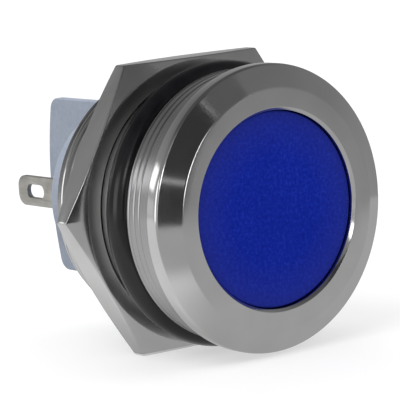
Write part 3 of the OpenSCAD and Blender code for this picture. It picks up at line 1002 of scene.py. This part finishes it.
def camera():
    """Camera at the viewing angle, aimed at the middle of the lamp."""
    back = direction(VIEW_AZIMUTH, VIEW_ELEVATION)
    face = Vector((0.0, FACE_Y, 0.0))
    eye = face + back * VIEW_DISTANCE
    side = Vector((0, 0, 1)).cross(back).normalized()
    rise = back.cross(side)
    roll = math.radians(VIEW_ROLL)
    right = side * math.cos(roll) - rise * math.sin(roll)
    up = rise * math.cos(roll) + side * math.sin(roll)
    aim = face + right * AIM_SIDE + up * AIM_RISE
    look = (eye - aim).normalized()
    flat = up.cross(look).normalized()
    upright = look.cross(flat)
    data = bpy.data.cameras.new("camera")
    data.lens = VIEW_LENS
    data.sensor_width = 36.0
    data.clip_start = 0.01
    data.clip_end = 20.0
    rig = add_object("camera", data)
    turn = Matrix((flat, upright, look)).transposed()
    rig.matrix_world = Matrix.Translation(eye) @ turn.to_4x4()
    bpy.context.scene.camera = rig


# ---------------------------------------------------------------- studio

FILL_LEVEL = 0.62
FLOOR_COLOUR = 0.42
FLOOR_LIFT = 0.56
FLOOR_REACH = 0.7
LAMP_AIM = Vector((0, 8 * MM, 0))

NEAR_TOP = 140 * MM
FAR_TOP = 450 * MM
CURTAIN_STEPS = 24
CEILING_Z = FAR_TOP - 1 * MM
CEILING_REACH = 0.5
CEILING_LEVEL = 0.10
HARD_EDGE = 0.02  # soft share of a card whose edges hardly fade

# Soft lamps: name, azimuth, elevation, distance, size, watts
LAMPS = (
    ("key", -75, 50, 0.9, 0.6, 4.5),
    ("fill", 60, 35, 1.0, 0.8, 2.5),
    ("back", 160, 45, 1.0, 0.7, 3.0),
)

# Curved grey walls, one near at the right, a dark stretch in front, and far ones at the left
# and behind: name, first and last azimuth, top, radius, level at the foot and at the top, and
# the curve from one level to the other
CURTAINS = (
    ("right_wall", 30, 125, NEAR_TOP, 83 * MM, 0.325, 0.10, 1.0),
    ("front_wall", 5, 30, NEAR_TOP, 90 * MM, 0.16, 0.11, 1.0),
    ("dark_wall", -30, 5, NEAR_TOP, 101 * MM, 0.045, 0.05, 1.0),
    ("rear_wall", 125, 215, FAR_TOP, 330 * MM, 0.52, 0.12, 0.6),
    ("left_wall", -145, -30, FAR_TOP, 331 * MM, 0.62, 0.12, 0.5),
)

# Grey cards just above the floor: name, lowest x and y, highest x and y, rise, level, soft share
MATS = (
    ("floor_mat", -400 * MM, -400 * MM, 400 * MM, 400 * MM, 0.2 * MM, 0.48, HARD_EDGE),
    ("left_mat", -180 * MM, -26 * MM, -6 * MM, 180 * MM, 0.4 * MM, 0.80, 0.1),
)

# Screens that face the lamp: name, azimuth, elevation, distance, width and height in degrees,
# level, soft share
SCREENS = (
    ("window", -143.6, 16.6, 305 * MM, 13, 14, 1.9, 0.3),
    ("sill", -141, 2, 306 * MM, 22, 12, 0.66, 0.5),
    ("strip", -21.4, 11.6, 97 * MM, 14, 2.4, 0.55, 0.5),
    ("camera_light", -37, 17, 95 * MM, 14, 13, 4.0, 0.5),
    ("front_light", 11, 6, 85 * MM, 7, 24, 4.0, 0.5),
    ("left_light", -85, 8, 200 * MM, 36, 36, 1.8, 0.4),
    ("right_glint", 106, -4, 68 * MM, 6, 14, 3.0, 0.6),
)


class StageGraph(Graph):
    """Node tree of a studio material, with other shaders in place of the Principled one."""

    def __init__(self, name):
        super().__init__(bpy.data.materials.new(name))
        self.nodes.remove(self.nodes["Principled BSDF"])

    def place(self):
        """Shares of the way across the object, along X, Y and Z."""
        return self.split(self.node("TexCoord", {}).outputs["Generated"])

    def glow(self, level):
        return self.node("Emission", {"Color": WHITE, "Strength": level}).outputs[0]

    def show(self, shader):
        """Ends the tree in the shader and gives the material."""
        self.put(self.nodes["Material Output"].inputs["Surface"], shader)
        return self.owner


def background_rays(g):
    """1 for the rays that see the background itself or its mirror image."""
    path = g.node("LightPath", {}).outputs
    total = g.math("MAXIMUM", path["Is Camera Ray"], path["Is Glossy Ray"])
    return g.math("MAXIMUM", total, path["Is Transmission Ray"])


def world():
    """White background, and a softer even fill for everything else."""
    made = bpy.data.worlds.new("studio")
    bpy.context.scene.world = made
    g = Graph(made)
    shade = g.nodes["Background"]
    g.put(shade.inputs["Color"], WHITE)
    g.put(shade.inputs["Strength"], g.between(background_rays(g), FILL_LEVEL, 1.0))


def rectangle(name, half_x, half_y, z=0.0):
    """Flat rectangle that faces up, round its own middle."""
    corners = [(-half_x, -half_y, z), (half_x, -half_y, z), (half_x, half_y, z), (-half_x, half_y, z)]
    return mesh_object(name, corners, [(0, 1, 2, 3)])


def floor():
    """Pale floor that keeps the lamp's soft shadow."""
    piece = rectangle("floor", FLOOR_REACH, FLOOR_REACH, CAD_LOW.z)
    g = StageGraph("floor")
    matte = g.node("BsdfDiffuse", {"Color": (FLOOR_COLOUR, FLOOR_COLOUR, FLOOR_COLOUR, 1.0)}).outputs[0]
    lift = g.glow(g.between(background_rays(g), 0.0, FLOOR_LIFT))
    piece.data.materials.append(g.show(g.node("AddShader", {0: matte, 1: lift}).outputs[0]))


def lamp(name, azimuth, elevation, distance, size, power):
    """Soft area lamp that the metal's reflections don't show."""
    data = bpy.data.lights.new(name, "AREA")
    data.size = size
    data.energy = power
    rig = add_object(name, data)
    rig.location = direction(azimuth, elevation) * distance + LAMP_AIM
    rig.rotation_euler = direction(azimuth, elevation).to_track_quat("Z", "Y").to_euler()
    rig.visible_glossy = False


def card_glow(name, level, soft):
    """Even glow that fades out near a card's edges, over the soft share of its width."""
    g = StageGraph(name)
    place = g.place()
    shares = []
    for axis in ("X", "Y"):
        away = g.math("ABSOLUTE", g.math("SUBTRACT", place[axis], 0.5))
        shares.append(g.between(away, 1.0, 0.0, 0.5 - 0.5 * soft, 0.5, "SMOOTHSTEP"))
    clear = g.node("BsdfTransparent", {}).outputs[0]
    inside = g.math("MULTIPLY", shares[0], shares[1])
    return g.show(g.node("MixShader", {0: inside, 1: clear, 2: g.glow(level)}).outputs[0])


def curtain_glow(name, low_level, high_level, curve):
    """Glow that shades from the foot of a wall to its top."""
    g = StageGraph(name)
    height = g.math("POWER", g.place()["Z"], curve)
    return g.show(g.glow(g.between(height, low_level, high_level)))


def only_in_reflections(piece, material):
    """Gives a studio card its glow and keeps it out of everything but mirror images."""
    piece.data.materials.append(material)
    piece.visible_camera = False
    piece.visible_diffuse = False
    piece.visible_shadow = False
    piece.visible_volume_scatter = False


def curtain(name, start, end, top, radius, low_level, high_level, curve):
    """Curved grey wall that stands on the floor, from azimuth start to end."""
    vertices = []
    for i in range(CURTAIN_STEPS + 1):
        flat = direction(start + (end - start) * i / CURTAIN_STEPS, 0) * radius
        vertices += [(flat.x, flat.y, CAD_LOW.z), (flat.x, flat.y, top)]
    faces = [(2 * i, 2 * i + 2, 2 * i + 3, 2 * i + 1) for i in range(CURTAIN_STEPS)]
    piece = mesh_object(name, vertices, faces)
    only_in_reflections(piece, curtain_glow(name, low_level, high_level, curve))


def ceiling():
    """Dim ceiling over the far walls."""
    piece = rectangle("ceiling", CEILING_REACH, CEILING_REACH, CEILING_Z)
    only_in_reflections(piece, card_glow("ceiling", CEILING_LEVEL, HARD_EDGE))


def mat(name, low_x, low_y, high_x, high_y, rise, level, soft):
    """Grey card that lies just above the floor."""
    piece = rectangle(name, (high_x - low_x) / 2, (high_y - low_y) / 2)
    piece.location = ((low_x + high_x) / 2, (low_y + high_y) / 2, CAD_LOW.z + rise)
    only_in_reflections(piece, card_glow(name, level, soft))


def screen(name, azimuth, elevation, distance, width, height, level, soft):
    """Flat screen that faces the lamp. Width and height are the angles that it fills."""
    half_w = distance * math.tan(math.radians(width / 2))
    half_h = distance * math.tan(math.radians(height / 2))
    piece = rectangle(name, half_w, half_h)
    back = direction(azimuth, elevation)
    piece.location = back * distance
    piece.rotation_euler = back.to_track_quat("Z", "Y").to_euler()
    only_in_reflections(piece, card_glow(name, level, soft))


def studio():
    """Background, floor, camera, lamps, and the cards that only mirror images show."""
    world()
    floor()
    camera()
    for values in LAMPS:
        lamp(*values)
    for values in CURTAINS:
        curtain(*values)
    ceiling()
    for values in MATS:
        mat(*values)
    for values in SCREENS:
        screen(*values)


# ---------------------------------------------------------------- making


bezel_housing()
hex_nut()
panel_ring()
lens()
rear_body()
lug_metal = dull_metal("tinned_lug", (0.34, 0.33, 0.305), (0.56, 0.55, 0.51), 0.24, 0.38)
lug(1, "lug_positive", "terminal_positive", lug_metal)
lug(-1, "lug_negative", "terminal_negative", lug_metal)
glue = clear_sealant()
sealant(1, "glue_positive", "sealant_positive", glue)
sealant(-1, "glue_negative", "sealant_negative", glue)
dress_inner_nodes()
studio()
bpy.context.scene.view_settings.view_transform = "Standard"
